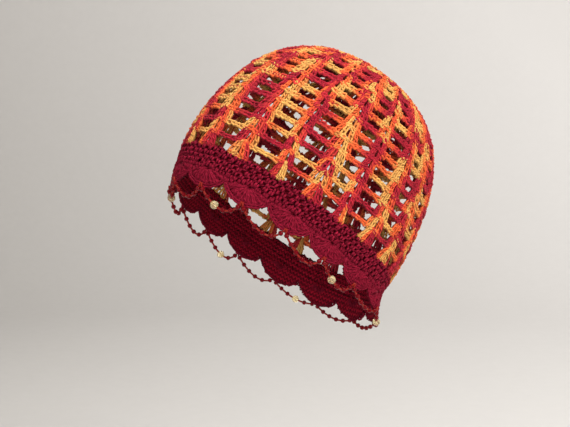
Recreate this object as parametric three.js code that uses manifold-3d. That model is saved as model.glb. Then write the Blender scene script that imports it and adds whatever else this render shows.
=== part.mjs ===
// Crochet flapper hat: an openwork crown, a solid band, a scalloped edging and bead strings hung from
// scallop to scallop. Millimetres. +Z is up, the wearer faces -Y, the wearer's left is +X, and the
// origin is the middle of the head opening. The hat is pitched back as it is worn.
import * as THREE from 'three';
import { mergeVertices } from 'three/addons/utils/BufferGeometryUtils.js';
import Module from 'manifold-3d';

// Outer form of the hat, level with the notches between the scallops at height 0.
const halfWidth = 80;
const halfLength = 98;
const crownHeight = 145.5;
const sideCurve = 2.92;
const shoulderCurve = 2.73;
const crownSetback = 4;
const backTilt = 37;

// The rim tucks in towards its notches, and hangs away from the nape at the back.
const rimTuck = 0.07;
const rimSetback = 2.3;
const tuckHeight = 60;
const napeFlare = 9.5;
const flareHeight = 12;
const flareStart = 0.17;
const flareFull = 0.85;

// Stitch counts round the head, and where the pattern starts past the middle of the forehead.
const stitchCount = 120;
const ladderCount = 20;
const scallopCount = 15;
const patternStart = 1.3;

// Heights along the wall from the notches.
const edgingTop = 6;
const bandTop = 20;
const rowPitch = 9.6;
const openRows = 6;
const closedRings = 9;
const scallopDrop = 9;
const scallopHalfPitch = 4;
const scallopSpread = 4.34;

// The gap in each rung of a ladder, in stitches along it and in millimetres of chain above and below.
const gapTipReach = 1.85;
const gapFlatReach = 1.15;
const chainHalfThickness = 1.5;

const crownThickness = 2.8;
const bandThickness = 3.4;
const edgingThickness = 3;
const clearance = 0.3;

// Bead strings.
const stringRadius = 1.05;
const stringSides = 8;
const stringSteps = 8;
const stringLength = 38.5;
const stringInset = 0.32;
const accentRadius = 3;
const accentSides = 12;
const accentPlace = 0.4;
const accentStrings = [0, 3, 5, 8, 10, 13];

const yarnMix = new THREE.MeshStandardMaterial({ color: 0xdc6030, roughness: 0.85, metalness: 0 });
const darkYarn = new THREE.MeshStandardMaterial({ color: 0x6f1422, roughness: 0.9, metalness: 0 });
const redGlass = new THREE.MeshStandardMaterial({ color: 0x9c1c14, roughness: 0.15, metalness: 0 });

const wasm = await Module();
wasm.setup();

// The wall's profile: height, share of the half width, and distance along the wall from the notches.
const profileSteps = 400;
const stepsBelow = 20;
const profile = [];
for (let i = -stepsBelow; i <= profileSteps; i++) {
  const turn = (Math.PI / 2) * (Math.max(i, 0) / profileSteps);
  const height = i < 0 ? i : crownHeight * Math.sin(turn) ** (2 / sideCurve);
  const tuck = Math.max(1 - height / tuckHeight, 0) ** 2;
  const reach = Math.cos(turn) ** (2 / shoulderCurve) * (1 - rimTuck * tuck);
  const setback = rimSetback * tuck + crownSetback * (Math.max(height, 0) / crownHeight) ** 3;
  profile.push({ height, reach, setback, along: 0 });
}
const meanHalf = (halfWidth + halfLength) / 2;
const stepLength = (a, b) => Math.hypot(meanHalf * (b.reach - a.reach), b.height - a.height);
for (let i = stepsBelow + 1; i < profile.length; i++) {
  profile[i].along = profile[i - 1].along + stepLength(profile[i - 1], profile[i]);
}
for (let i = stepsBelow - 1; i >= 0; i--) {
  profile[i].along = profile[i + 1].along - stepLength(profile[i], profile[i + 1]);
}
const apexAlong = profile[profile.length - 1].along;

function profileAt(along) {
  let i = 1;
  while (i < profile.length - 1 && profile[i].along < along) i++;
  const a = profile[i - 1];
  const b = profile[i];
  const share = THREE.MathUtils.clamp((along - a.along) / (b.along - a.along), 0, 1);
  const mix = (key) => a[key] + (b[key] - a[key]) * share;
  return { height: mix('height'), reach: mix('reach'), setback: mix('setback') };
}

// Angles that share the oval into equal stitches, from the middle of the forehead towards +X.
const ovalSteps = 720;
const ovalLengths = [0];
const ovalPoint = (turn) => [halfWidth * Math.sin(turn), -halfLength * Math.cos(turn)];
for (let i = 1; i <= ovalSteps; i++) {
  const [ax, ay] = ovalPoint(((i - 1) / ovalSteps) * 2 * Math.PI);
  const [bx, by] = ovalPoint((i / ovalSteps) * 2 * Math.PI);
  ovalLengths.push(ovalLengths[i - 1] + Math.hypot(bx - ax, by - ay));
}

function turnAt(stitch) {
  const wrapped = THREE.MathUtils.euclideanModulo(stitch, stitchCount);
  const target = (wrapped / stitchCount) * ovalLengths[ovalSteps];
  let i = 1;
  while (i < ovalSteps && ovalLengths[i] < target) i++;
  const share = (target - ovalLengths[i - 1]) / (ovalLengths[i] - ovalLengths[i - 1]);
  return ((i - 1 + share) / ovalSteps) * 2 * Math.PI;
}

// How far the rim stands out from the nape, as a share of the half width.
function flareAt(turn, along) {
  const backShare = THREE.MathUtils.smoothstep(-Math.cos(turn), flareStart, flareFull);
  const drop = Math.max(flareHeight - along, 0) / (flareHeight + scallopDrop);
  return (backShare * napeFlare * drop ** 1.5) / meanHalf;
}

function surfacePoint(stitch, along) {
  const { height, reach, setback } = profileAt(along);
  const turn = turnAt(stitch);
  const [x, y] = ovalPoint(turn);
  const share = reach + flareAt(turn, along);
  return new THREE.Vector3(x * share, y * share + setback, height);
}

// A point of the wall, set in from the outer face by its depth.
function wallPoint(stitch, along, depth) {
  const point = surfacePoint(stitch, along);
  if (depth === 0) return point;
  if (along > apexAlong - 1) return point.setZ(point.z - depth);
  const across = surfacePoint(stitch + 0.5, along).sub(surfacePoint(stitch - 0.5, along));
  const upward = surfacePoint(stitch, along + 0.5).sub(surfacePoint(stitch, along - 0.5));
  return point.addScaledVector(across.cross(upward).normalize(), -depth);
}

// A flat pattern of the wall, with points at a stitch and a distance along the wall.
class Sheet {
  points = [];
  faces = [];
  known = new Map();

  point(stitch, along) {
    const wrapped = along > apexAlong - 1 ? 0 : THREE.MathUtils.euclideanModulo(stitch, stitchCount);
    const key = wrapped.toFixed(3) + ' ' + along.toFixed(3);
    if (!this.known.has(key)) {
      this.known.set(key, this.points.length);
      this.points.push([wrapped, along]);
    }
    return this.known.get(key);
  }

  // Corners run anticlockwise, seen from outside.
  quad(a, b, c, d) {
    this.faces.push([a, b, c], [a, c, d]);
  }

  // The pattern as a closed wall: its outer face, its inner face and its edges.
  thicken(thickness) {
    const count = this.points.length;
    const position = [];
    for (const depth of [0, thickness]) {
      for (const [stitch, along] of this.points) position.push(...wallPoint(stitch, along, depth).toArray());
    }
    const index = [];
    const edges = new Set();
    for (const [a, b, c] of this.faces) {
      index.push(a, b, c, a + count, c + count, b + count);
      edges.add(a + ' ' + b).add(b + ' ' + c).add(c + ' ' + a);
    }
    for (const edge of edges) {
      const [a, b] = edge.split(' ').map(Number);
      if (!edges.has(b + ' ' + a)) index.push(b, a, a + count, b, a + count, b + count);
    }
    const geometry = new THREE.BufferGeometry();
    geometry.setAttribute('position', new THREE.Float32BufferAttribute(position, 3));
    geometry.setIndex(index);
    geometry.computeVertexNormals();
    return geometry;
  }
}

// One rung of a ladder: a patch of wall round a six-sided gap.
function addOpenCell(sheet, centre, low, high) {
  const half = stitchCount / ladderCount / 2;
  const middle = (low + high) / 2;
  const gapLow = low + chainHalfThickness;
  const gapHigh = high - chainHalfThickness;
  const rim = [
    [-half, low], [0, low], [half, low], [half, high], [0, high], [-half, high],
  ].map(([offset, along]) => sheet.point(centre + offset, along));
  const gap = [
    [-gapTipReach, middle], [-gapFlatReach, gapLow], [gapFlatReach, gapLow],
    [gapTipReach, middle], [gapFlatReach, gapHigh], [-gapFlatReach, gapHigh],
  ].map(([offset, along]) => sheet.point(centre + offset, along));
  for (let i = 0; i < 6; i++) {
    const next = (i + 1) % 6;
    sheet.faces.push([rim[i], rim[next], gap[next]], [rim[i], gap[next], gap[i]]);
  }
}

function makeCrown() {
  const sheet = new Sheet();
  const foot = bandTop + clearance / 2;
  const pitch = stitchCount / ladderCount;
  for (let row = 0; row < openRows; row++) {
    for (let ladder = 0; ladder < ladderCount; ladder++) {
      const low = foot + row * rowPitch;
      addOpenCell(sheet, patternStart + ladder * pitch, low, low + rowPitch);
    }
  }
  const start = foot + openRows * rowPitch;
  const ring = (apexAlong - start) / closedRings;
  for (let row = 0; row < closedRings; row++) {
    for (let half = 0; half < 2 * ladderCount; half++) {
      const left = patternStart + (half * pitch) / 2;
      const right = left + pitch / 2;
      const low = start + row * ring;
      const corners = [sheet.point(left, low), sheet.point(right, low)];
      if (row === closedRings - 1) {
        sheet.faces.push([...corners, sheet.point(0, apexAlong)]);
      } else {
        sheet.quad(...corners, sheet.point(right, low + ring), sheet.point(left, low + ring));
      }
    }
  }
  return sheet.thicken(crownThickness);
}

function makeBand() {
  const sheet = new Sheet();
  const levels = [edgingTop + clearance / 2, (edgingTop + bandTop) / 2, bandTop - clearance / 2];
  const width = 2;
  for (let stitch = patternStart; stitch < patternStart + stitchCount - 0.5; stitch += width) {
    for (let i = 0; i < levels.length - 1; i++) {
      sheet.quad(
        sheet.point(stitch, levels[i]),
        sheet.point(stitch + width, levels[i]),
        sheet.point(stitch + width, levels[i + 1]),
        sheet.point(stitch, levels[i + 1]),
      );
    }
  }
  return sheet.thicken(bandThickness);
}

// The lower edge of a scallop: half an ellipse round the middle of its fan of stitches.
function scallopEdge(offset) {
  const share = Math.sqrt(1 - (offset / scallopSpread) ** 2);
  return edgingTop - (edgingTop + scallopDrop) * share;
}

function makeEdging() {
  const sheet = new Sheet();
  const top = edgingTop - clearance / 2;
  const stops = [-4, -3.5, -2.5, -1.2, 0, 1.2, 2.5, 3.5, 4];
  for (let scallop = 0; scallop < scallopCount; scallop++) {
    const centre = patternStart + (2 * scallop + 1) * scallopHalfPitch;
    for (let i = 0; i < stops.length - 1; i++) {
      sheet.quad(
        sheet.point(centre + stops[i], scallopEdge(stops[i])),
        sheet.point(centre + stops[i + 1], scallopEdge(stops[i + 1])),
        sheet.point(centre + stops[i + 1], top),
        sheet.point(centre + stops[i], top),
      );
    }
  }
  return sheet.thicken(edgingThickness);
}

const tilt = new THREE.Matrix4().makeRotationX(THREE.MathUtils.degToRad(-backTilt));

// Where a string leaves a scallop's tip, on the side given, just below the edging.
function hangPoint(scallop, side) {
  const stitch = patternStart + (2 * scallop + 1) * scallopHalfPitch + side * stringInset;
  const along = -scallopDrop - clearance - stringRadius;
  return wallPoint(stitch, along, edgingThickness / 2).applyMatrix4(tilt);
}

// A string of the given length hung between two points, as an upright parabola.
function hangingCurve(from, to, length) {
  let low = 0;
  let high = length;
  let curve;
  for (let i = 0; i < 40; i++) {
    const drop = (low + high) / 2;
    const pull = from.clone().add(to).multiplyScalar(0.5);
    pull.z -= 2 * drop;
    curve = new THREE.QuadraticBezierCurve3(from, pull, to);
    if (curve.getLength() < length) low = drop;
    else high = drop;
  }
  return curve;
}

function toSolid(geometry) {
  const bare = geometry.index ? geometry.toNonIndexed() : geometry.clone();
  bare.deleteAttribute('normal');
  bare.deleteAttribute('uv');
  const merged = mergeVertices(bare, 1e-4);
  return new wasm.Manifold(new wasm.Mesh({
    numProp: 3,
    vertProperties: merged.attributes.position.array,
    triVerts: new Uint32Array(merged.index.array),
  }));
}

function toGeometry(solid) {
  const mesh = solid.getMesh();
  const geometry = new THREE.BufferGeometry();
  geometry.setAttribute('position', new THREE.Float32BufferAttribute(mesh.vertProperties, 3));
  geometry.setIndex([...mesh.triVerts]);
  geometry.computeVertexNormals();
  return geometry;
}

function makeString(index) {
  const curve = hangingCurve(hangPoint(index, 1), hangPoint((index + 1) % scallopCount, -1), stringLength);
  const outline = [];
  for (let i = 0; i < stringSides; i++) {
    const turn = (i / stringSides) * 2 * Math.PI;
    outline.push(new THREE.Vector2(stringRadius * Math.cos(turn), stringRadius * Math.sin(turn)));
  }
  const options = { steps: stringSteps, extrudePath: curve, bevelEnabled: false };
  const tube = new THREE.ExtrudeGeometry(new THREE.Shape(outline), options);
  if (!accentStrings.includes(index)) return tube;
  const bead = new THREE.SphereGeometry(accentRadius, accentSides, accentSides / 2);
  bead.applyQuaternion(new THREE.Quaternion().setFromUnitVectors(
    new THREE.Vector3(0, 1, 0),
    curve.getTangentAt(accentPlace),
  ));
  bead.translate(...curve.getPointAt(accentPlace).toArray());
  return toGeometry(toSolid(tube).add(toSolid(bead)));
}

function addMesh(group, name, geometry, material) {
  const mesh = new THREE.Mesh(geometry, material);
  mesh.name = name;
  group.add(mesh);
}

const hat = new THREE.Group();
const pitchedBack = new THREE.Group();
pitchedBack.applyMatrix4(tilt);
addMesh(pitchedBack, 'crown', makeCrown(), yarnMix);
addMesh(pitchedBack, 'band', makeBand(), darkYarn);
addMesh(pitchedBack, 'scallop_edging', makeEdging(), darkYarn);
hat.add(pitchedBack);
for (let i = 0; i < scallopCount; i++) {
  addMesh(hat, 'bead_string_' + String(i + 1).padStart(2, '0'), makeString(i), redGlass);
}

export default hat;
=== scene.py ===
import math

import bpy
import numpy as np
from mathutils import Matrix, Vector


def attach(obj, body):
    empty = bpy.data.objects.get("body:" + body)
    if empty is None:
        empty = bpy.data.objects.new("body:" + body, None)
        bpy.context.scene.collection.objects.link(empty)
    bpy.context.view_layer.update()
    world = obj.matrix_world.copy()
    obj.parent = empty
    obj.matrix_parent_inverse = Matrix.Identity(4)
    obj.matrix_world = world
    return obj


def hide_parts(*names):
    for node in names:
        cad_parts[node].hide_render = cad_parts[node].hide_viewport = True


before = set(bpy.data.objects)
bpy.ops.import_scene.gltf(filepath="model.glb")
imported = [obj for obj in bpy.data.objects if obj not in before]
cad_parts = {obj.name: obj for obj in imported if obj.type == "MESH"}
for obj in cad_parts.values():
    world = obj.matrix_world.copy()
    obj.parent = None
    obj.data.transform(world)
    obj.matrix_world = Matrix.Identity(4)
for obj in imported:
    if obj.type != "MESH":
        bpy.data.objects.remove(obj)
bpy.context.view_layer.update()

mm = 0.001
rng = np.random.default_rng(31)


def stray(spread, count):
    return rng.normal(0, spread, count)


# Seeds of the noise that has its own draws.
seeds = dict(column=100, shellHalf=7, line=8, dye=60, top=40, band=300)

# The hat's form, in millimetres and stitches, as the frame has it.
hatForm = dict(
    halfWidth=80, halfLength=98, crownHeight=145.5, sideCurve=2.92, shoulderCurve=2.73,
    crownSetback=4, backTilt=37, rimTuck=0.07, rimSetback=2.3, tuckHeight=60,
    napeFlare=9.5, flareHeight=12, flareReach=21, flareStart=0.17, flareFull=0.85,
    stitches=120, patternStart=1.3,
)
stitches = hatForm["stitches"]


# How far it is along a line to each of its points, given as one array for each axis.
def walk(*axes):
    return np.append(0, np.cumsum(np.linalg.norm(np.diff(axes, axis=1), axis=0)))


# A place on the wall: a stitch round the head, then millimetres up from the notches and out of its face.
class Wall:
    def __init__(self, form):
        self.form = form
        tilt = math.radians(form["backTilt"])
        self.cos, self.sin = math.cos(tilt), math.sin(tilt)
        steps, below = 400, 20  # steps up to the apex, and one a millimetre below the notches
        index = np.arange(-below, steps + 1)
        turn = np.pi / 2 * np.maximum(index, 0) / steps
        climb = form["crownHeight"] * np.sin(turn) ** (2 / form["sideCurve"])
        self.height = np.where(index < 0, index, climb)
        tuck = np.maximum(1 - self.height / form["tuckHeight"], 0) ** 2
        narrowing = np.maximum(np.cos(turn), 0) ** (2 / form["shoulderCurve"])
        self.reach = narrowing * (1 - form["rimTuck"] * tuck)
        rise = np.maximum(self.height, 0) / form["crownHeight"]
        self.setback = form["rimSetback"] * tuck + form["crownSetback"] * rise ** 3
        self.meanHalf = (form["halfWidth"] + form["halfLength"]) / 2
        walked = walk(self.meanHalf * self.reach, self.height)
        self.along = walked - walked[below]
        self.apex = self.along[-1]
        self.turns = np.linspace(0, 2 * np.pi, 721)
        walked = walk(form["halfWidth"] * np.sin(self.turns), form["halfLength"] * np.cos(self.turns))
        self.girth = walked[-1]
        self.turnStitch = walked / self.girth * form["stitches"]

    def stitchWidth(self, along):
        reach = np.maximum(np.interp(along, self.along, self.reach), 0.03)  # never quite closed
        return self.girth / self.form["stitches"] * reach

    # Coordinates on the hat's own upright axis, pitched back as the head holds it.
    def pitched(self, x, y, z):
        return np.stack([x, self.cos * y + self.sin * z, self.cos * z - self.sin * y], -1)

    def surface(self, stitch, along):
        form = self.form
        turn = np.interp(np.mod(stitch, form["stitches"]), self.turnStitch, self.turns)
        back = np.clip((-np.cos(turn) - form["flareStart"]) / (form["flareFull"] - form["flareStart"]), 0, 1)
        back = back * back * (3 - 2 * back)
        drop = np.maximum(form["flareHeight"] - along, 0) / form["flareReach"]
        flare = back * form["napeFlare"] * drop ** 1.5 / self.meanHalf
        reach = np.interp(along, self.along, self.reach) + flare
        x = form["halfWidth"] * np.sin(turn) * reach
        y = -form["halfLength"] * np.cos(turn) * reach + np.interp(along, self.along, self.setback)
        return self.pitched(x, y, np.interp(along, self.along, self.height))

    # Places as points in metres.
    def points(self, places):
        probe, apexGap = 0.25, 0.6
        stitch, out = places[..., 0], places[..., 2]
        along = np.minimum(places[..., 1], self.apex - apexGap)
        reach = probe / self.stitchWidth(along)
        across = self.surface(stitch + reach, along) - self.surface(stitch - reach, along)
        upward = self.surface(stitch, along + probe) - self.surface(stitch, along - probe)
        normal = np.cross(across, upward)
        normal /= np.linalg.norm(normal, axis=-1, keepdims=True)
        return (self.surface(stitch, along) + normal * out[..., None]) * mm

    # Which way out of the fabric is, near enough to shade by, for points in metres.
    def outward(self, path):
        form = self.form
        x = path[..., 0] / form["halfWidth"] ** 2
        y = (self.cos * path[..., 1] - self.sin * path[..., 2]) / form["halfLength"] ** 2
        z = np.maximum(self.sin * path[..., 1] + self.cos * path[..., 2], 0) / form["crownHeight"] ** 2
        way = self.pitched(x, y, z)
        return way / np.linalg.norm(way, axis=-1, keepdims=True)


wall = Wall(hatForm)


# Copies of a stitch's strand laid on the wall: each point is along the stitch, across it and out.
def lay(strand, stitch, along, angle=0.0, length=1.0, width=1.0, out=0.0):
    stitch, along, angle, length, width, out = np.broadcast_arrays(stitch, along, angle, length, width, out)
    forward = strand[:, 0] * length[:, None]
    across = strand[:, 1] * width[:, None]
    cos, sin = np.cos(angle)[:, None], np.sin(angle)[:, None]
    height = along[:, None] + forward * sin + across * cos
    sideways = (forward * cos - across * sin) / wall.stitchWidth(height)
    return np.stack([stitch[:, None] + sideways, height, strand[:, 2] + out[:, None]], -1)


# Noise, each value drawn towards its neighbours.
def smoothNoise(count, spread, seed):
    values = np.random.default_rng(seed).normal(0, spread, count)
    return (np.roll(values, 1) + 2 * values + np.roll(values, -1)) / 3


# Values at the four corners of each face between rings, or all round if the last ring joins the first.
def faceCorners(rings, closed=False):
    if closed:
        rings = np.concatenate([rings, rings[..., :1, :]], axis=-2)
    following = np.roll(rings, -1, axis=-1)
    return np.stack([rings[..., :-1, :], following[..., :-1, :],
                     following[..., 1:, :], rings[..., 1:, :]], -1)


# The faces' map: steps that run on round each ring, and each point's value.
def faceMap(start, step, values, closed=False):
    up = faceCorners(values, closed)
    across = start[:, None] + np.array([0, step, step, 0])
    return np.stack([np.broadcast_to(across, up.shape), up], -1)


# A smooth mesh, of quads unless its faces' sizes are given.
def meshFrom(name, points, corners, materials, sizes=None):
    if sizes is None:
        sizes = np.full(corners.size // 4, 4)
    mesh = bpy.data.meshes.new(name)
    mesh.vertices.add(points.size // 3)
    mesh.vertices.foreach_set("co", points.astype(np.float32).ravel())
    mesh.loops.add(corners.size)
    mesh.loops.foreach_set("vertex_index", corners.astype(np.int32).ravel())
    mesh.polygons.add(len(sizes))
    mesh.polygons.foreach_set("loop_start", (np.cumsum(sizes) - sizes).astype(np.int32))
    mesh.polygons.foreach_set("loop_total", sizes.astype(np.int32))
    mesh.polygons.foreach_set("use_smooth", np.full(len(sizes), True))
    mesh.update(calc_edges=True)
    for material in materials:
        mesh.materials.append(material)
    return mesh


def addMap(mesh, name, values):
    mesh.uv_layers.new(name=name).data.foreach_set("uv", values.astype(np.float32).ravel())


def addObject(name, data):
    made = bpy.data.objects.new(name, data)
    bpy.context.scene.collection.objects.link(made)
    return made


def addPiece(name, mesh, replaced):
    piece = addObject(name, mesh)
    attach(piece, "root")
    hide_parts(*replaced)
    print(name, "made")


# How painted shade darkens the fabric's colour: where it is deep, the rise to full light, and the shares of
# light left in creases and deep down, and lost inside.
openPaintedShade = dict(deep=-2.9, rise=1.7, crease=0.32, falloff=1.3, sunk=0.44, uneven=0.09, inside=0.22)
bandPaintedShade = dict(deep=-2.5, rise=2.0, crease=0.16, falloff=1.4, sunk=0.16, uneven=0.12, inside=0.10)
edgingPaintedShade = dict(bandPaintedShade, rise=3.0, crease=0.50, sunk=0.40, uneven=0.05)

# How strands are drawn: how far they stray, the share of that at each point, how thick their ends are, how
# uneven they are, and how far along the twist one may start.
strandLook = dict(sides=6, stray=0.12, sway=0.35, blunt=0.72, uneven=0.04, twistStart=40)


# Strands gathered as stitches are worked, then made into one mesh of closed tubes.
class Yarn:
    def __init__(self, name, depth):
        self.name = name
        self.depth = depth
        self.batches = []

    def add(self, places, radius, hue=0.0, hueSpan=0.0):
        look = strandLook
        path = wall.points(places)
        strands, steps = path.shape[:2]
        drift = rng.normal(0, look["stray"] * mm, (strands, 1, 3))
        drift = drift + rng.normal(0, look["sway"] * look["stray"] * mm, path.shape)
        taper = np.ones(steps)
        taper[[0, -1]] = look["blunt"]
        share = np.linspace(0, 1, steps)
        hues = np.broadcast_to(hue, strands)[:, None] + np.broadcast_to(hueSpan, strands)[:, None] * share
        thick = np.broadcast_to(radius, strands)[:, None] * taper
        thick = thick * rng.normal(1, look["uneven"], (strands, 1))
        # Painted shade: the share of light on a strand, from none at "deep" to full at "rise" millimetres
        # above it.
        lift = np.clip((places[..., 2] - self.depth["deep"]) / self.depth["rise"], 0, 1)
        self.batches.append((path + drift, thick * mm, hues, lift))

    # The points round each strand, and the painted shade on them: darker in creases, deep down and inside.
    def rings(self, path, thick, lift):
        sides = strandLook["sides"]
        ahead = np.gradient(path, axis=1)
        ahead /= np.linalg.norm(ahead, axis=-1, keepdims=True)
        side = np.cross(ahead[:, 0], [0.31, 0.17, 0.93])  # a direction that no strand runs in
        angle = 2 * np.pi * np.arange(sides) / sides
        rings = np.empty(path.shape[:2] + (sides, 3))
        facing = np.empty(path.shape[:2] + (sides,))
        outward = wall.outward(path)
        for step in range(path.shape[1]):
            side = side - ahead[:, step] * np.sum(side * ahead[:, step], -1, keepdims=True)
            side /= np.linalg.norm(side, axis=-1, keepdims=True)
            other = np.cross(ahead[:, step], side)
            around = side[:, None] * np.cos(angle)[:, None] + other[:, None] * np.sin(angle)[:, None]
            rings[:, step] = path[:, step, None] + around * thick[:, step, None, None]
            facing[:, step] = np.sum(around * outward[:, step, None], -1)
        depth = self.depth
        lit = depth["crease"] + (1 - depth["crease"]) * np.abs(facing) ** depth["falloff"]
        lit *= 1 - depth["inside"] * (1 - facing) / 2
        lit *= rng.normal(1, depth["uneven"], (len(path), 1, 1))
        return rings, lit * (depth["sunk"] + (1 - depth["sunk"]) * lift[..., None])

    # Makes the piece. Its map "ply" holds turns round the strand and millimetres along it.
    def knitUp(self, material, replaced):
        sides = strandLook["sides"]
        turns = np.arange(sides) / sides
        points, hues, lights, corners, sizes, maps = ([] for gathered in range(6))
        first = 0
        for path, thick, hue, lift in self.batches:
            strands, steps = path.shape[:2]
            rings, lit = self.rings(path, thick, lift)
            points.append(rings.reshape(-1, 3))
            lights.append(lit.ravel())
            hues.append(np.repeat(hue, sides))
            index = first + np.arange(strands * steps * sides).reshape(strands, steps, sides)
            quads = faceCorners(index)
            corners += [quads.ravel(), index[:, 0, ::-1].ravel(), index[:, -1].ravel()]
            sizes += [np.full(quads.size // 4, 4), np.full(strands * 2, sides)]
            stretch = np.linalg.norm(np.diff(path, axis=1), axis=-1) / mm
            run = np.concatenate([np.zeros((strands, 1)), np.cumsum(stretch, 1)], 1)
            run = run + rng.uniform(0, strandLook["twistStart"], (strands, 1))
            ends = np.repeat(np.concatenate([run[:, 0], run[:, -1]]), sides)
            maps.append(faceMap(turns, 1 / sides, np.broadcast_to(run[..., None], index.shape)).ravel())
            maps.append(np.stack([np.tile(turns, 2 * strands), ends], -1).ravel())
            first += index.size
        mesh = meshFrom(self.name, np.concatenate(points), np.concatenate(corners), [material],
                        np.concatenate(sizes))
        addMap(mesh, "ply", np.concatenate(maps))
        # At each point, the dye's place and "lit", the painted shade that darkens the colour.
        for layer, values in (("yarnPlace", hues), ("lit", lights)):
            attribute = mesh.attributes.new(layer, "FLOAT", "POINT")
            attribute.data.foreach_set("value", np.concatenate(values).astype(np.float32))
        addPiece(self.name, mesh, replaced)


# A socket of a shader node, so that sums on it can be written as they are read.
class Wire:
    def __init__(self, recipe, socket):
        self.recipe = recipe
        self.socket = socket

    def maths(self, operation, *values):
        return self.recipe.node("ShaderNodeMath", {"operation": operation}, dict(enumerate(values)))

    def __add__(self, other): return self.maths("ADD", self, other)
    def __radd__(self, other): return self.maths("ADD", other, self)
    def __sub__(self, other): return self.maths("SUBTRACT", self, other)
    def __rsub__(self, other): return self.maths("SUBTRACT", other, self)
    def __mul__(self, other): return self.maths("MULTIPLY", self, other)
    def __rmul__(self, other): return self.maths("MULTIPLY", other, self)
    def fraction(self): return self.maths("FRACT", self)
    def sine(self): return self.maths("SINE", self)
    def size(self): return self.maths("ABSOLUTE", self)


class Recipe:
    def __init__(self, name):
        self.material = bpy.data.materials.new(name)
        self.material.use_nodes = True
        self.tree = self.material.node_tree
        self.tree.nodes.clear()

    # Adds a node with its settings, then its sockets' values or wires, and gives one output's wire.
    def node(self, kind, settings, sockets, output=0):
        made = self.tree.nodes.new(kind)
        for name, value in settings.items():
            if name == "stops":
                ramp = made.color_ramp
                while len(ramp.elements) < len(value):
                    ramp.elements.new(1)
                for element, (place, colour) in zip(ramp.elements, value):
                    element.position = place
                    element.color = (*colour, 1)
            else:
                setattr(made, name, value)
        for name, value in sockets.items():
            if isinstance(value, Wire):
                self.tree.links.new(value.socket, made.inputs[name])
            else:
                made.inputs[name].default_value = value
        return Wire(self, made.outputs[output])

    def mapPlace(self, name):
        both = self.node("ShaderNodeUVMap", {"uv_map": name}, {})
        return (self.node("ShaderNodeSeparateXYZ", {}, {0: both}, axis) for axis in (0, 1))

    def objectPlace(self):
        return self.node("ShaderNodeTexCoord", {}, {}, "Object")

    def noise(self, place, scale, detail):
        return self.node("ShaderNodeTexNoise", {}, {"Vector": place, "Scale": scale, "Detail": detail})

    def attribute(self, name):
        return self.node("ShaderNodeAttribute", {"attribute_name": name}, {}, "Fac")

    def relief(self, height, distance, **under):
        sockets = {"Height": height, "Strength": 1.0, "Distance": distance, **under}
        return self.node("ShaderNodeBump", {}, sockets)

    # Mixes two colours, each a wire or its red, green and blue.
    def blend(self, share, first, second, how="MIX"):
        settings = {"data_type": "RGBA", "blend_type": how, "clamp_factor": True}
        first, second = (colour if isinstance(colour, Wire) else (*colour, 1) for colour in (first, second))
        return self.node("ShaderNodeMix", settings, {0: share, 6: first, 7: second}, 2)

    def surface(self, sockets):
        shader = self.node("ShaderNodeBsdfPrincipled", {}, sockets)
        made = self.tree.nodes.new("ShaderNodeOutputMaterial")
        self.tree.links.new(shader.socket, made.inputs["Surface"])
        return self.material


# Colours in linear light, how the plies show, with painted shade between them, and one repeat of the dye.
yarnLook = dict(
    crimson=(0.52, 0.018, 0.036), deepCrimson=(0.40, 0.011, 0.030), red=(0.72, 0.056, 0.038),
    orange=(0.95, 0.150, 0.040), amber=(0.92, 0.300, 0.075), gold=(0.90, 0.455, 0.120),
    burgundy=(0.25, 0.0060, 0.0250), burgundyLight=(0.42, 0.0170, 0.0500), plies=3,
    plyPitch=3.2, plyDepth=0.00022, fuzzScale=2600.0, fuzzDepth=0.00010, fibreScale=420.0,
    shade=0.62, ridgeLight=0.50, fibreLight=0.50, roughness=0.72, sheen=0.02,
    sheenRoughness=0.5, gloss=0.12, darkGloss=0.04, dyeBlur=0.06,
    dyeRun=(
        (0.00, "gold"), (0.08, "gold"), (0.14, "amber"), (0.19, "orange"), (0.26, "orange"), (0.32, "red"),
        (0.40, "crimson"), (0.54, "deepCrimson"), (0.68, "crimson"), (0.76, "red"), (0.81, "orange"),
        (0.86, "orange"), (0.90, "amber"), (0.95, "gold"), (1.00, "gold"),
    ),
)


# Cotton yarn: twisted plies and fine fibres over a colour, darkened by painted shade between the plies and by
# the painted shade in "lit".
def yarnMaterial(name, colourOf, gloss, sheen):
    look = yarnLook
    recipe = Recipe(name)
    around, run = recipe.mapPlace("ply")
    ridge = ((around * look["plies"] + run * (1 / look["plyPitch"])) * math.pi).sine().size()
    place = recipe.objectPlace()
    fuzz = recipe.noise(place, look["fuzzScale"], 2.0)
    fibre = recipe.noise(place, look["fibreScale"], 2.0)
    # Painted shade between the plies, and a tone from the fibres that differs at random.
    light = look["shade"] + ridge * look["ridgeLight"] + (fibre - 0.5) * look["fibreLight"]
    # The painted shade that the strands carry darkens it further.
    shade = light * recipe.attribute("lit")
    grey = recipe.node("ShaderNodeCombineColor", {}, {0: shade, 1: shade, 2: shade})
    return recipe.surface({
        "Base Color": recipe.blend(1.0, colourOf(recipe, fibre), grey, "MULTIPLY"),
        "Roughness": look["roughness"],
        "Sheen Weight": sheen,
        "Sheen Roughness": look["sheenRoughness"],
        "Specular IOR Level": gloss,
        "Normal": recipe.relief(fuzz, look["fuzzDepth"], Normal=recipe.relief(ridge, look["plyDepth"])),
    })


# The dye repeats along the yarn: gold, orange, a long run of crimson, and back through orange.
def dyedColour(recipe, fibre):
    place = (recipe.attribute("yarnPlace") + (fibre - 0.5) * yarnLook["dyeBlur"]).fraction()
    stops = [(place, yarnLook[colour]) for place, colour in yarnLook["dyeRun"]]
    return recipe.node("ShaderNodeValToRGB", {"stops": stops}, {"Fac": place})


def burgundyColour(recipe, fibre):
    return recipe.blend(fibre, yarnLook["burgundy"], yarnLook["burgundyLight"])


dyedYarn = yarnMaterial("variegated cotton", dyedColour, yarnLook["gloss"], yarnLook["sheen"])
darkYarn = yarnMaterial("burgundy cotton", burgundyColour, yarnLook["darkGloss"], 0.0)
print("materials made")

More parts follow.
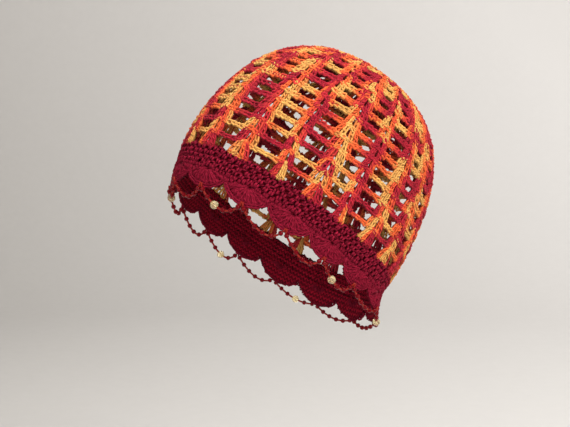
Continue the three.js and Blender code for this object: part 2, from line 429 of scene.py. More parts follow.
# Strands, each point along the stitch, across it and out: a chain's loop, the hook of a post on the band, and
# for a length of 1 a post's side, its back and what slants across it.
chainPitch = 3.6
chainLoop = np.array([
    (-0.3, 0.15, -0.75), (0.14, 0.8, 0.65), (0.74, 1.28, 0.35), (1.05, 0.0, -0.25),
    (0.74, -1.28, 0.35), (0.14, -0.8, 0.65), (-0.3, -0.15, -0.75),
])
chainLoop[:, 0] *= chainPitch
postHook = np.array([(-0.6, 0.1, 0.4), (0.3, 0.25, 0.9), (1.2, 0.1, 0.6), (1.9, -0.1, -0.8)])
postSide = np.array([
    (-0.05, 0.3, -1.0), (0.0, 0.55, 0.05), (0.25, 0.7, 0.2), (0.5, 0.85, -0.05),
    (0.75, 0.925, 0.2), (1.0, 1.0, -0.05), (1.07, 0.75, -1.2),
])
postBack = np.array([(0.0, 0.0, -1.1), (0.5, 0.0, -1.0), (1.0, 0.0, -1.1)])
postWrap = np.array([
    (0.0, -1.05, -0.7), (0.05, -0.75, 0.45), (0.12, 0.0, 0.9), (0.19, 0.75, 0.45), (0.24, 1.05, -0.7),
])
postWrapPlaces = ((0.02, 0.75), (0.4, 1.0), (0.76, 1.15))


def bothSides(strand):
    return [strand * [1, side, 1] for side in (-1, 1)]


# Copies of a wrap, each at its place along the stitch and of its size across.
def wrapsAt(wrap, places):
    return [wrap * [1, size, 1] + [start, 0, 0] for start, size in places]


def postStrands(bulge):
    strands = bothSides(postSide) + [postBack * 1.0]
    wraps = wrapsAt(postWrap, postWrapPlaces)
    for strand in strands + wraps:
        strand[:, 1] += bulge * np.sin(np.pi * np.clip(strand[:, 0], 0, 1))
    return strands, wraps


# The crown's plan and yarn in millimetres, the shells' halves and the eyelets' reach in stitches, and how far
# stitches stray. Pairs are for the lowest line and for those from "tightRow" up.
crownLook = dict(
    rows=14, ladders=20, foot=20.0, rowPitch=9.6, out=-1.4, yarnRadius=0.82,
    settled=0.5, settledRow=9, shellShrink=0.8, mostHalf=2.7,
    halfDrift=0.08, columnDrift=0.2, lineDrift=0.35,
    tightRow=8, chainRadius=(0.92, 1.05), chainBack=(1.2, 1.7), chainWidth=(0.72, 1.45),
    leastLoops=3, backSunk=0.6, endFlare=0.55, flareReach=2.4, bandInset=0.4,
    crossing=0.4, crossingFront=0.6, eyeletLift=1.3, eyeletReach=0.8,
    loopStray=0.15, loopLean=0.09, loopUneven=0.08,
    shellPosts=4, postYarn=46, chainYarn=10.5, dyeRepeat=430, dyeUneven=0.12,
    loopDye=(0.01, 0.02), postDye=(0.03, 0.015, 0.04), wrapDye=0.02,
)

# Where a shell's posts stand, and how they, their wraps and their hooks stray.
shellLook = dict(
    innerPost=0.34, eyeletHalf=2.7, bandEyeletHalf=2.2, postHalf=1.8, postStep=1.4,
    fullStep=3.2, spread=(0.9, 1.4), uneven=0.06, outStray=0.1, wrapLean=0.05, wrapRadius=0.92,
    hookHalf=0.7, hookRise=0.6, hookStray=0.4, hookSplay=0.25, hookLean=0.2, hookDye=0.04,
)
# Outer and inner posts of a shell, and of a fan on the band: where one begins, as a share of its reach and at
# most, how far its base and top are above their lines, its bulge, and how far out it lies.
shellPosts = (
    dict(base=0.65, most=4.2, baseRise=0.9, topRise=-1.3, bulge=0.8, front=0.1),
    dict(base=0.5, most=4.2, baseRise=1.9, topRise=-0.5, bulge=0.2, front=0.45),
)
fanPosts = (
    dict(base=0.3575, most=2.31, baseRise=0.9, topRise=-0.7, bulge=0.16, front=0.5),
    dict(base=0.275, most=2.31, baseRise=1.9, topRise=-0.7, bulge=0.04, front=0.85),
)

# How each column of shells strays from its even place, and half its width at the foot, in stitches.
columnHand = [
    (-1.1, 1.8), (-0.6, 1.9), (-0.3, 1.3), (0.2, 1.95), (-0.7, 1.3), (-0.2, 1.95), (-0.1, 2.1),
    (-0.5, 1.6), (0.3, 1.85), (-0.4, 1.4), (0.0, 2.0), (-0.8, 1.7), (0.1, 1.35), (-0.3, 1.9),
    (0.2, 1.6), (-0.6, 2.05), (-0.1, 1.45), (0.3, 1.8), (-0.4, 1.95), (-0.7, 1.5),
]

# Stitches at which the gold comes round again in each row, counted from the band up.
goldMarks = [
    (9, 16.8, 32.4, 40), (2, 12.3, 22, 34, 41), (7.2, 18.5, 25, 36), (2.5, 15, 23.6, 33.4, 43),
    (1.5, 13, 22.8, 32, 40), (1.5, 11.5, 21.8, 33.5, 41.5), (1.5, 11, 22, 33.5, 42),
    (4.5, 12.5, 19.5, 28, 38), (0, 9, 17, 27, 37), (9.5, 18, 22.5, 30, 40), (5, 13, 21.5, 29, 35),
    (7, 16, 25, 36), (4, 15, 26, 35), (10, 20, 31, 40), (3, 14, 25, 36),
]


def rowWidth(row):
    return wall.stitchWidth(crownLook["foot"] + row * crownLook["rowPitch"])


# The middle, half width and height of every column's shell on each line, from the band up.
def crownPlan():
    look = crownLook
    lines = np.arange(look["rows"] + 1)
    columns = np.arange(look["ladders"])
    shift, half = np.array(columnHand).T
    settle = 1 - look["settled"] * np.minimum(lines / look["settledRow"], 1)[:, None]
    pitch = stitches / look["ladders"]
    middle = hatForm["patternStart"] + pitch * (columns + 0.5) + shift * settle
    for column in columns:
        middle[:, column] += smoothNoise(len(lines), look["columnDrift"], seeds["column"] + column)
    shrink = rowWidth(0) / rowWidth(lines)
    drift = np.random.default_rng(seeds["shellHalf"]).normal(size=middle.shape)
    half = half * shrink[:, None] ** look["shellShrink"] * (1 + look["halfDrift"] * drift)
    line = look["foot"] + look["rowPitch"] * lines[:, None] + np.zeros((1, len(columns)))
    line[1:] += np.random.default_rng(seeds["line"]).normal(0, look["lineDrift"], line[1:].shape)
    return middle, np.minimum(half, look["mostHalf"]), line


crownMiddle, crownHalf, crownLine = crownPlan()


# Millimetres of yarn taken by a row up to a stitch: posts take far more than the chain between shells.
def yarnTaken(row, stitch):
    look = crownLook
    middle, half = crownMiddle[row], crownHalf[row]
    after = np.append(middle[1:], middle[0] + stitches)
    chains = (after - middle - half - np.roll(half, -1)) * rowWidth(row) / chainPitch
    shell = look["shellPosts"] * look["postYarn"]
    *starts, total = np.append(0, np.cumsum(shell + chains * look["chainYarn"]))
    first = middle[0] - half[0]
    knots = np.append(np.stack([middle - half, middle + half], -1), first + stitches)
    taken = np.append(np.stack([starts, np.add(starts, shell)], -1), total)
    turns = np.floor((stitch - first) / stitches)
    return np.interp(stitch - turns * stitches, knots, taken) + turns * total


# Where a stitch lies in the dye's repeats: whole numbers are the middles of the gold.
def yarnPlace(row, stitch):
    repeat = crownLook["dyeRepeat"]
    marks = np.array(goldMarks[row], float)
    taken = yarnTaken(row, marks)
    around = yarnTaken(row, marks[0] + stitches)
    more = max(int(round((around - taken[-1]) / repeat)), 1)
    rest = np.linspace(taken[-1], around, more + 1)[1:]
    uneven = crownLook["dyeUneven"] * repeat
    rest[:-1] += np.random.default_rng(seeds["dye"] + row).normal(0, uneven, more - 1)
    knots = np.sort(np.concatenate([taken, rest]))
    here = yarnTaken(row, np.where(stitch < marks[0], stitch + stitches, stitch))
    here = np.where(here > knots[-1], here - (knots[-1] - knots[0]), here)
    return np.interp(here, knots, np.arange(len(knots)))


# Chain from shell to shell, raised over the eyelets. On the band it only runs under the posts.
def makeCrownLines(yarn, rows):
    look = crownLook
    pitch = stitches / look["ladders"]
    dyeStray, dyeSpan = look["loopDye"]
    for row in rows:
        width = rowWidth(row)
        count = max(int(round(pitch * width / chainPitch)), look["leastLoops"])
        raised = float(row > 0)
        climb = min(row / look["tightRow"], 1)
        radius, back, loopWidth = (low + (high - low) * climb for low, high in
                                   (look["chainRadius"], look["chainBack"], look["chainWidth"]))
        for column in range(look["ladders"]):
            pair = [column, (column + 1) % look["ladders"]]
            (start, finish), (half, halfAfter) = crownMiddle[row, pair], crownHalf[row, pair]
            finish += stitches * (finish < start)
            share = (np.arange(count) + 0.5) / count
            if row == 0:
                near = (finish - start) * share < half - look["bandInset"]
                share = share[near | ((finish - start) * (1 - share) < halfAfter - look["bandInset"])]
            loops = len(share)
            stitch = start + (finish - start) * share
            fromStart = np.maximum(1 - (stitch - start) / look["eyeletReach"], 0)
            toFinish = np.maximum(1 - (finish - stitch) / look["eyeletReach"], 0)
            low, high = crownLine[row, pair]
            height = low * (1 - share) + high * share + look["eyeletLift"] * (fromStart + toFinish) * raised
            climbing = (toFinish > 0) * 1.0 - (fromStart > 0)
            slope = look["eyeletLift"] / (look["eyeletReach"] * width) * climbing
            tilt = np.arctan(slope) * raised + stray(look["loopLean"], loops)
            place = yarnPlace(row, stitch)
            size = (finish - start) * width / count / chainPitch
            fromPost = (stitch - start - half) * width / look["flareReach"]
            toPost = (finish - stitch - halfAfter) * width / look["flareReach"]
            flare = 1 + look["endFlare"] * (np.exp(-fromPost ** 2) + np.exp(-toPost ** 2)) * raised
            front = look["crossingFront"] * (np.maximum(fromStart, toFinish) > look["crossing"]) * raised
            yarn.add(lay(chainLoop, stitch - 0.5 * chainPitch * size / width,
                         height + stray(look["loopStray"], loops), tilt, size,
                         loopWidth * flare * rng.normal(1, look["loopUneven"], loops),
                         look["out"] + front + stray(look["loopStray"], loops)),
                     radius, place + stray(dyeStray, loops), dyeSpan)
            if row > 0:
                behind = np.stack([stitch, height, np.full(loops, look["out"] - look["backSunk"])], -1)
                yarn.add(behind[None], back, place[0], place[-1] - place[0])


# Shells of four posts. Rounds are worked downwards, so a post's base is above and its top below.
def makeCrownShells(yarn, rows):
    look, shell = crownLook, shellLook
    radius, count = look["yarnRadius"], look["ladders"]
    placeStray, dyeStray, dyeSpan = look["postDye"]
    for row in rows:
        width = rowWidth(row + 0.5)
        eyelet = shell["eyeletHalf" if row else "bandEyeletHalf"]
        inner = np.maximum(shell["innerPost"] * crownHalf[row] * width, eyelet)
        outer = np.maximum(crownHalf[row] * width - shell["postHalf"], inner + shell["postStep"])
        spread = np.clip((outer - inner) / shell["fullStep"], *shell["spread"])
        for reach, post in zip((outer, inner), shellPosts if row else fanPosts):
            strands, wraps = postStrands(post["bulge"])
            for side in (-1, 1):
                top = crownMiddle[row] + side * reach / width
                base = crownMiddle[row + 1] + side * np.minimum(post["base"] * reach, post["most"]) / width
                low, high = crownLine[row] + post["topRise"], crownLine[row + 1] + post["baseRise"]
                east, north = (top - base) * width, low - high
                angle, length = np.arctan2(north, east), np.hypot(north, east)
                place = yarnPlace(row, top) + stray(placeStray, count)
                out = look["out"] + post["front"] + stray(shell["outStray"], count)
                turned = side * spread * rng.normal(1, shell["uneven"], count)
                for strand in strands:
                    yarn.add(lay(strand, base, high, angle, length, turned, out), radius,
                             place + stray(dyeStray, count), dyeSpan)
                for wrap in wraps:
                    lean = angle + stray(shell["wrapLean"], count)
                    yarn.add(lay(wrap, base, high, lean, length, turned, out), radius * shell["wrapRadius"],
                             place + look["wrapDye"])
                for away in () if row else (-shell["hookHalf"], shell["hookHalf"]):
                    along = low + shell["hookRise"] + stray(shell["hookStray"], count)
                    lean = rng.normal(shell["hookSplay"] * away, shell["hookLean"], count) - np.pi / 2
                    yarn.add(lay(postHook, top + away / width, along, lean, out=look["out"]), radius,
                             place + stray(shell["hookDye"], count))


# The closed rounds on top of the crown, down to a small ring, and how the dye runs in them.
topLook = dict(
    rounds=4, postWidth=3.3, widthAt=0.35, stray=0.08, lap=0.6, front=0.2,
    outStray=0.12, ringRadius=5.0, ringOut=4.0, ringLoops=8, ringDye=0.7,
    dyeStitches=10.7, dyeShare=0.6, dyeDrift=0.37, dyeStray=0.1, dyeSpan=0.03,
)


def makeCrownTop(yarn, rounds):
    look, radius, out = topLook, crownLook["yarnRadius"], crownLook["out"]
    start = crownLook["foot"] + crownLook["rows"] * crownLook["rowPitch"]
    height = (wall.apex - look["ringRadius"] - start) / look["rounds"]
    for number in rounds:
        low, high = start + number * height, start + (number + 1) * height + look["lap"]
        girth = wall.stitchWidth(low + height * look["widthAt"]) * stitches
        count = int(round(girth / look["postWidth"]))
        stitch = (np.arange(count) + stray(look["stray"], count)) * stitches / count
        place = stitch / look["dyeStitches"] * look["dyeShare"] + number * look["dyeDrift"]
        place = place + smoothNoise(count, look["dyeStray"], seeds["top"] + number)
        lift = out + look["front"] + stray(look["outStray"], count)
        for strands, span in zip(postStrands(0.0), (look["dyeSpan"], 0.0)):
            for strand in strands:
                yarn.add(lay(strand, stitch, high, -np.pi / 2, height, out=lift), radius, place, span)
        if number:
            size = wall.stitchWidth(low) * stitches / count / chainPitch
            yarn.add(lay(chainLoop, stitch, low, length=size, out=out), radius, place)
    loops, ring = look["ringLoops"], look["ringOut"]
    yarn.add(lay(chainLoop, np.arange(loops) * stitches / loops, wall.apex - ring,
                 length=2 * np.pi * ring / loops / chainPitch, out=out), radius, look["ringDye"])


crownPieces = (
    ("crown_lower_rungs", makeCrownLines, range(0, 7)),
    ("crown_upper_rungs", makeCrownLines, range(7, 15)),
    ("crown_lower_shells", makeCrownShells, range(0, 6)),
    ("crown_upper_shells", makeCrownShells, range(6, 10)),
    ("crown_closed_shells", makeCrownShells, range(10, 14)),
    ("crown_top_rounds", makeCrownTop, range(topLook["rounds"])),
)
for name, work, rows in crownPieces:
    yarn = Yarn(name, openPaintedShade)
    work(yarn, rows)
    yarn.knitUp(dyedYarn, ["crown"])
print("crown worked")

# A single stitch's legs, for a height and width of 1, and its strand over to the next, for a width of 1.
stitchLegs = (
    np.array([(0.0, 0.30, -1.2), (0.22, 0.30, 0.45), (0.66, 0.215, 0.75), (1.02, 0.13, -1.0)]),
    np.array([(-0.08, 0.0, -1.2), (0.14, 0.0, 0.45), (0.58, -0.095, 0.75), (0.94, -0.19, -1.0)]),
)
stitchBar = np.array([(-0.42, 0.15, -1.35), (-0.20, 0.0, 0.10), (0.15, 0.1, 0.20), (0.42, -0.1, -1.25)])
stitchLook = dict(legLean=0.1, outStray=0.12, barAcross=0.45, barUp=0.95, barLean=(0.18, 0.12),
                  barRadius=0.85)


def singleStitches(yarn, stitch, along, width, height, out, radius):
    look = stitchLook
    count = len(stitch)
    for leg in stitchLegs:
        lean = np.pi / 2 + stray(look["legLean"], count)
        lift = out + stray(look["outStray"], count)
        yarn.add(lay(leg, stitch, along, lean, height, width, lift), radius)
    leaning, uneven = look["barLean"]
    lean = leaning + stray(uneven, count)
    yarn.add(lay(stitchBar, stitch + look["barAcross"] * width / wall.stitchWidth(along),
                 along + look["barUp"] * height, lean, width, 1.0,
                 out + stray(look["outStray"], count)), radius * look["barRadius"])


bandLook = dict(
    rounds=4, stitches=92, shift=0.32, low=6.2, high=19.5, out=-1.3, yarnRadius=1.0,
    stitchStray=0.05, uneven=0.3, coreTop=18.9, coreOut=(-2.1, -2.7),
)


def makeBand(yarn):
    look = bandLook
    height = (look["high"] - look["low"]) / look["rounds"]
    count = look["stitches"]
    for number in range(look["rounds"]):
        stitch = np.arange(count) + look["shift"] * (number % 2) + stray(look["stitchStray"], count)
        along = look["low"] + number * height + smoothNoise(count, look["uneven"], seeds["band"] + number)
        singleStitches(yarn, stitch * (stitches / count), along, wall.girth / count, height,
                       look["out"], look["yarnRadius"])


# The hidden middle of a close fabric: how finely it is drawn, and how its knitting looks, with painted shade
# in the valleys between its stitches.
coreLook = dict(
    columns=480, levels=5, stitches=180, rowHeight=3.3, blurScale=500.0, aroundBlur=0.3,
    heightBlur=0.35, slant=1.1, crest=1.3, valley=1.6, dark=(0.060, 0.0012, 0.005),
    light=(0.26, 0.005, 0.018), depth=0.0008, roughness=0.9, gloss=0.05,
)


# The inside of the close fabric: slanting stitches in rows, with painted shade in the valleys between them.
def coreMaterial():
    look = coreLook
    recipe = Recipe("burgundy core")
    around, height = recipe.mapPlace("knit")
    blur = recipe.noise(recipe.objectPlace(), look["blurScale"], 1.0) - 0.5
    bend = ((around + blur * look["aroundBlur"]).fraction() - 0.5).size()
    rows = height - bend * look["slant"] + blur * look["heightBlur"]
    raised = ((rows * (2 * math.pi)).sine() * 0.5 + 0.5) * (look["crest"] - bend * look["valley"])
    return recipe.surface({
        # Painted shade: from the yarn's own colour on the crests to dark in the valleys.
        "Base Color": recipe.blend(raised, look["dark"], look["light"]),
        "Roughness": look["roughness"],
        "Specular IOR Level": look["gloss"],
        "Normal": recipe.relief(raised, look["depth"]),
    })


darkCore = coreMaterial()


# A thin closed sheet that the strands lie on, from its lower edge up to a height.
def coreSheet(name, edge, top, outs, replaced):
    look = coreLook
    columns = np.arange(look["columns"])
    across = columns * stitches / look["columns"]
    low = edge(across)
    along = low + (top - low) * np.linspace(0, 1, look["levels"])[:, None]
    outside, inside = (wall.points(np.stack(np.broadcast_arrays(across, along, out), -1)) for out in outs)
    loop = np.concatenate([outside, inside[::-1]])  # up the outside, down the inside
    heights = np.concatenate([along, along[::-1]]) / look["rowHeight"]
    quads = faceCorners(np.arange(heights.size).reshape(heights.shape), closed=True)
    mesh = meshFrom(name, loop, quads, [darkCore])
    perColumn = look["stitches"] / look["columns"]
    addMap(mesh, "knit", faceMap(columns * perColumn, perColumn, heights, closed=True))
    addPiece(name, mesh, replaced)


bandYarn = Yarn("band_stitches", bandPaintedShade)
makeBand(bandYarn)
bandYarn.knitUp(darkYarn, ["band"])
coreSheet("band_core", lambda across: bandLook["low"] + 0 * across, bandLook["coreTop"], bandLook["coreOut"],
          ["band"])
print("band worked")

# A ray's strands, for a length of 1: a raised one, one of the two beside it, and one across.
rayRidge = np.array([(-0.04, 0, -0.6), (0.1, 0, 0.45), (0.5, 0.2, 0.6), (0.85, -0.2, 0.5), (1.05, 0, -0.9)])
raySide = np.array([(0.02, 0.2, -1), (0.3, 0.65, -0.2), (0.65, 1.15, 0.05), (0.9, 1.35, 0),
                    (1.05, 1.2, -1.1)])
rayWrap = np.array([(0, -1.3, -0.8), (0.07, -0.8, 0.35), (0.16, 0.1, 1), (0.25, 0.9, 0.35), (0.3, 1.4, -0.8)])
rayWrapPlaces = ((0.22, 0.77), (0.56, 1.155))

# The scallops and fans, in millimetres but for "spread", "halfPitch" and each shoulder round's first and last
# place, which are in stitches and come before its height.
edgingLook = dict(
    scallops=15, top=6.0, drop=9.0, spread=4.34, halfPitch=4.0, out=-1.45,
    yarnRadius=0.82, rays=11, fanAlong=4.6, fanHole=1.9, rayInset=1.2, rayLean=0.05,
    rayStray=0.12, edgeLoops=14, loopBack=0.35, loopInset=1.0, loopLean=0.12,
    loopStray=0.15, loopSize=(1.08, 0.8),
    shoulders=((1.2, 4.0, 3.2), (2.4, 4.0, 0.5), (0.33, 1.2, 4.6)), singleStep=0.667,
    singleHeight=3.2, singleFront=0.1, singleRadius=0.92, singleStray=(0.05, 0.2),
    coreInset=1.0, coreTop=6.8, coreOut=(-2.0, -2.6),
)
centres = hatForm["patternStart"] + (2 * np.arange(edgingLook["scallops"]) + 1) * edgingLook["halfPitch"]


def scallopEdge(offset):
    look = edgingLook
    fall = np.sqrt(np.maximum(1 - (offset / look["spread"]) ** 2, 0))
    return look["top"] - (look["top"] + look["drop"]) * fall


# Points evenly along the scallop's edge: offsets in stitches, heights and slopes.
def edgePoints(count):
    samples, probe = 401, 0.05
    width = wall.stitchWidth(0)
    offset = np.linspace(-edgingLook["halfPitch"], edgingLook["halfPitch"], samples)
    along = scallopEdge(offset)
    walked = walk(offset * width, along)
    at = np.interp((np.arange(count) + 0.5) / count * walked[-1], walked, offset)
    ahead, behind = at + probe, at - probe
    slope = np.arctan2(scallopEdge(ahead) - scallopEdge(behind), (ahead - behind) * width)
    return zip(at, scallopEdge(at), slope)


# Rays from each scallop's middle, chain along its edge, and single stitches on its shoulders.
def makeEdging(yarn):
    look = edgingLook
    radius, hole = look["yarnRadius"], look["fanHole"]
    count = len(centres)
    width = wall.stitchWidth(0)
    rays = [rayRidge] + bothSides(raySide) + wrapsAt(rayWrap, rayWrapPlaces)
    for offset, along, slope in edgePoints(look["rays"]):
        east, north = offset * width, along + look["rayInset"] - look["fanAlong"]
        angle, length = math.atan2(north, east), math.hypot(north, east) - hole
        lean = angle + stray(look["rayLean"], count)
        start = centres + hole * math.cos(angle) / width
        foot = look["fanAlong"] + hole * math.sin(angle)
        out = look["out"] + stray(look["rayStray"], count)
        for strand in rays:
            yarn.add(lay(strand, start, foot, lean, length, 1.0, out), radius)
    for offset, along, slope in edgePoints(look["edgeLoops"]):
        lean = slope + rng.normal(look["loopLean"], look["loopLean"], count)
        height = along + look["loopInset"] + stray(look["loopStray"], count)
        yarn.add(lay(chainLoop, centres + offset - look["loopBack"] * np.cos(slope), height, lean,
                     *look["loopSize"], look["out"] + stray(look["loopStray"], count)), radius)
    step = look["singleStep"]
    stitchStray, alongStray = look["singleStray"]
    for reach, finish, low in look["shoulders"]:
        for place in np.arange(reach, finish + 0.1, step):
            for side in (-1, 1):
                singleStitches(yarn, centres + side * place + stray(stitchStray, count),
                               low + stray(alongStray, count), step * width, look["singleHeight"],
                               look["out"] + look["singleFront"], radius * look["singleRadius"])


def edgingFloor(across):
    look = edgingLook
    offset = np.mod(across - hatForm["patternStart"], 2 * look["halfPitch"]) - look["halfPitch"]
    return scallopEdge(offset) + look["coreInset"]


edgingYarn = Yarn("edging_stitches", edgingPaintedShade)
makeEdging(edgingYarn)
edgingYarn.knitUp(darkYarn, ["scallop_edging"])
coreSheet("edging_core", edgingFloor, edgingLook["coreTop"], edgingLook["coreOut"], ["scallop_edging"])
print("edging worked")

# The strings, hung in stitches from a scallop's middle and in millimetres up and out, and their beads.
stringLook = dict(
    length=36.8, inset=0.26, hang=-9.6, hangOut=0.3, hook=3.1, hookReach=0.16,
    hookOut=0.9, bugleLength=3.4, bugleRadius=0.72, bugleBevel=0.18, bugleEnd=0.82,
    seedLength=3.0, seedRadius=1.8, seedLip=0.2, seedFlat=0.9, seedTurn=0.42, seedLong=1.02, seedCount=6,
    accentRadius=3.0, accentLength=0.9, accentEnd=0.42, accentFacet=(0.55, 0.85),
    accentSeed=2, accentStrings=(0, 3, 5, 8, 10, 13), threadRadius=0.22, holeGap=0.12,
    leastGap=0.05, sides=dict(seed=12, bugle=10, accent=8),
)

# Each bead's glass: its name, colour, roughness, share of light let through and how dark its streaks are.
beadGlass = dict(
    seed=("dark red seed glass", (0.18, 0.0015, 0.006), 0.12, 0.0, 0.55),
    bugle=("orange red bugle glass", (0.30, 0.018, 0.012), 0.22, 0.0, 0.55),
    accent=("pale gold glass", (1.0, 0.84, 0.50), 0.04, 0.85, 0.9),
)


def glassMaterial(name, colour, roughness, seeThrough, streaks):
    recipe = Recipe(name)
    streak = recipe.noise(recipe.objectPlace(), 900.0, 1.0)
    return recipe.surface({
        "Base Color": recipe.blend(streak, [value * streaks for value in colour], colour),
        "Roughness": roughness,
        "Transmission Weight": seeThrough,
        "IOR": 1.5 if seeThrough else 1.2,
    })


beadMaterials = [glassMaterial(*glass) for glass in beadGlass.values()]


# A bead's section, from hole to hole: distance along the thread and from it.
def beadProfile(kind, length):
    look = stringLook
    hole = look["threadRadius"] + look["holeGap"]
    half = length / 2
    if kind == "bugle":
        radius, bevel = look["bugleRadius"], half - look["bugleBevel"]
        end = radius * look["bugleEnd"]
        return [(-half, hole), (-half, end), (-bevel, radius), (bevel, radius), (half, end), (half, hole)]
    if kind == "seed":
        flat, lip = half * look["seedFlat"], hole + look["seedLip"]
        turns = np.linspace(-look["seedTurn"], look["seedTurn"], 6) * np.pi
        along, out = half * np.sin(turns) * look["seedLong"], lip + (look["seedRadius"] - lip) * np.cos(turns)
        return [(-flat, hole), *zip(along, out), (flat, hole)]
    radius = look["accentRadius"]
    end, (facetAlong, facetOut) = radius * look["accentEnd"], look["accentFacet"]
    return [(-half, hole), (-half, end), (-half * facetAlong, radius * facetOut), (0, radius),
            (half * facetAlong, radius * facetOut), (half, end), (half, hole)]


# Where a string leaves its scallop, and where its end bead hooks over the scallop's edge.
def hangPlace(scallop, side, hooked=0):
    look = stringLook
    stitch = centres[scallop] + side * (look["inset"] - hooked * look["hookReach"])
    out = look["hangOut"] + hooked * look["hookOut"]
    return wall.points(np.array([stitch, look["hang"] + hooked * look["hook"], out]))


# The hanging line between two points, as an upright parabola of the string's length.
def hangingLine(start, finish, length):
    share = np.linspace(0, 1, 161)[:, None]
    low, high = 0.0, length
    for halving in range(40):
        drop = (low + high) / 2
        line = start * (1 - share) + finish * share - np.array([0, 0, 4 * drop]) * share * (1 - share)
        low, high = (drop, high) if walk(*line.T)[-1] < length else (low, drop)
    return line


class BeadString:
    def __init__(self, line):
        self.line = line
        self.walked = walk(*line.T)
        self.points, self.corners, self.materials = [], [], []
        self.first = 0

    def at(self, distance):
        return np.array([np.interp(distance * mm, self.walked, axis) for axis in self.line.T])

    # Adds a bead: its section turned round the thread.
    def lathe(self, kind, start, length):
        sides = stringLook["sides"][kind]
        profile = beadProfile(kind, length)
        centre = self.at(start + length / 2)
        ahead = self.at(start + length * 0.9) - self.at(start + length * 0.1)
        ahead = ahead / np.linalg.norm(ahead)
        side = np.cross(ahead, [0.2, 0.1, 1.0])
        side /= np.linalg.norm(side)
        angle = 2 * np.pi * np.arange(sides) / sides + rng.uniform(0, 6)
        around = side * np.cos(angle)[:, None] + np.cross(ahead, side) * np.sin(angle)[:, None]
        self.points += [centre + ahead * along * mm + around * radius * mm for along, radius in profile]
        quads = faceCorners(self.first + np.arange(len(profile) * sides).reshape(-1, sides), closed=True)
        self.corners.append(quads.ravel())
        self.materials.append(np.full(quads.size // 4, list(beadGlass).index(kind)))
        self.first += len(profile) * sides

    def make(self, name, replaced):
        materials = np.concatenate(self.materials)
        mesh = meshFrom(name, np.concatenate(self.points), np.concatenate(self.corners), beadMaterials)
        mesh.polygons.foreach_set("material_index", materials.astype(np.int32))
        mesh.polygons.foreach_set("use_smooth", materials != list(beadGlass).index("accent"))
        addPiece(name, mesh, replaced)


def makeString(number):
    look = stringLook
    after = (number + 1) % edgingLook["scallops"]
    line = hangingLine(hangPlace(number, 1), hangPlace(after, -1), look["length"] * mm)
    string = BeadString(np.concatenate([[hangPlace(number, 1, 1)], line, [hangPlace(after, -1, 1)]]))
    beads = [("bugle", look["bugleLength"]), ("seed", look["seedLength"])] * look["seedCount"]
    beads.append(("bugle", look["bugleLength"]))
    if number in look["accentStrings"]:
        beads[2 * look["accentSeed"] + 1] = ("accent", 2 * look["accentRadius"] * look["accentLength"])
    room = string.walked[-1] / mm
    total = sum(length for kind, length in beads)
    gap, squeeze = (room - total) / len(beads), 1.0
    if gap < look["leastGap"]:
        gap = look["leastGap"]
        squeeze = (room - gap * len(beads)) / total
    start = gap / 2
    for kind, length in beads:
        string.lathe(kind, start, length * squeeze)
        start += length * squeeze + gap
    name = "bead_string_%02d" % (number + 1)
    string.make(name + "_beads", [name])


for number in range(edgingLook["scallops"]):
    makeString(number)
print("bead strings strung")

# The studio: a pale floor that curves up all round, and the photograph's camera.
studioLook = dict(
    pale=(0.84, 0.825, 0.81), paperShade=(0.40, 0.385, 0.365), paperShadeMiddle=0.60, paperShadeAcross=0.48,
    paperShadeUp=0.40, grainScale=60.0, grain=0.06, roughness=0.9, gloss=0.1, floorZ=-0.34,
    floorRadius=1.6, curveRadius=0.9, wallTop=3.2, sides=96, azimuth=57.92, elevation=3.0,
    distance=0.89373, aim=(0, 0, 0.060), aimRight=0.00932, aimUp=-0.04187,
    focalPixels=1238.29, imageWidth=570, clip=(0.05, 20), lightAim=(0, 0.03, 0.06),
    air=(1.0, 0.985, 0.965, 1), airStrength=0.86,
)


def paperMaterial():
    look = studioLook
    recipe = Recipe("pale paper")
    place = recipe.objectPlace()
    grain = (recipe.noise(place, look["grainScale"], 3.0) - 0.5) * look["grain"]
    # Painted shade: the paper's colour is darker towards the camera's left and lower down, with a random
    # grain.
    across = math.radians(look["azimuth"])
    slope = (math.cos(across) * look["paperShadeAcross"], math.sin(across) * look["paperShadeAcross"], look["paperShadeUp"])
    share = recipe.node("ShaderNodeVectorMath", {"operation": "DOT_PRODUCT"}, {0: place, 1: slope}, "Value")
    return recipe.surface({
        "Base Color": recipe.blend(share + look["paperShadeMiddle"] + grain, look["paperShade"], look["pale"]),
        "Roughness": look["roughness"],
        "Specular IOR Level": look["gloss"],
    })


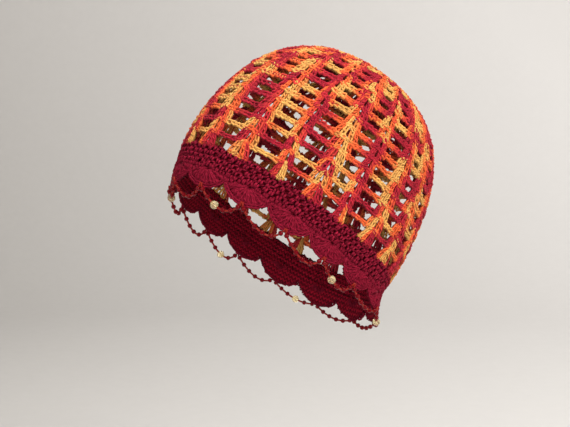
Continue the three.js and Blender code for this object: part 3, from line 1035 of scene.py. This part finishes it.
def makeStudio():
    look = studioLook
    radius, curve, sides = look["floorRadius"], look["curveRadius"], look["sides"]
    bend = np.linspace(0, np.pi / 2, 13)[1:]
    reach = np.concatenate([[0, radius], radius + curve * np.sin(bend), [radius + curve]])[:, None]
    height = np.concatenate([[0, 0], curve * (1 - np.cos(bend)), [look["wallTop"]]])[:, None] + look["floorZ"]
    turn = 2 * np.pi * np.arange(sides) / sides
    points = np.stack(np.broadcast_arrays(reach * np.cos(turn), reach * np.sin(turn), height), -1)
    quads = faceCorners(np.arange(len(reach) * sides).reshape(-1, sides))
    floor = addObject("studio_floor", meshFrom("studio_floor", points, quads, [paperMaterial()]))


def cameraAxes(azimuth, elevation):
    flat = math.cos(elevation)
    back = Vector((math.sin(azimuth) * flat, -math.cos(azimuth) * flat, math.sin(elevation)))
    right = Vector((math.cos(azimuth), math.sin(azimuth), 0))
    return back, right, back.cross(right)


back, right, up = cameraAxes(math.radians(studioLook["azimuth"]), math.radians(studioLook["elevation"]))


def lookAt(placed, target):
    placed.rotation_euler = (target - placed.location).to_track_quat("-Z", "Y").to_euler()


def makeCamera():
    look = studioLook
    aim = Vector(look["aim"])
    data = bpy.data.cameras.new("camera")
    data.lens = look["focalPixels"] / look["imageWidth"] * data.sensor_width
    data.clip_start, data.clip_end = look["clip"]
    camera = addObject("camera", data)
    camera.location = aim + back * look["distance"]
    lookAt(camera, aim + right * look["aimRight"] + up * look["aimUp"])
    bpy.context.scene.camera = camera


# Each light: how far right of the camera's view, above and in front of the hat, its size, power and colour.
lights = dict(
    key=(0.7, 1.0, 1.2, 0.6, 27, (1.0, 0.97, 0.93)),
    fill=(-1.3, 0.2, 1.1, 1.4, 12, (0.95, 0.97, 1.0)),
    top=(-0.1, 1.6, -0.4, 1.2, 12, (1.0, 0.99, 0.97)),
)


def makeLights():
    centre = Vector(studioLook["lightAim"])
    for name, (east, north, near, size, power, colour) in lights.items():
        data = bpy.data.lights.new(name, "AREA")
        data.shape, data.size, data.energy, data.color = "DISK", size, power, colour
        light = addObject(name, data)
        light.location = centre + right * east + Vector((0, 0, north)) + back * near
        lookAt(light, centre)
    world = bpy.data.worlds.new("studio air")
    world.use_nodes = True
    background = world.node_tree.nodes["Background"]
    background.inputs["Color"].default_value = studioLook["air"]
    background.inputs["Strength"].default_value = studioLook["airStrength"]
    bpy.context.scene.world = world


makeStudio()
makeCamera()
makeLights()
bpy.context.scene.view_settings.view_transform = "Standard"
print("studio set")
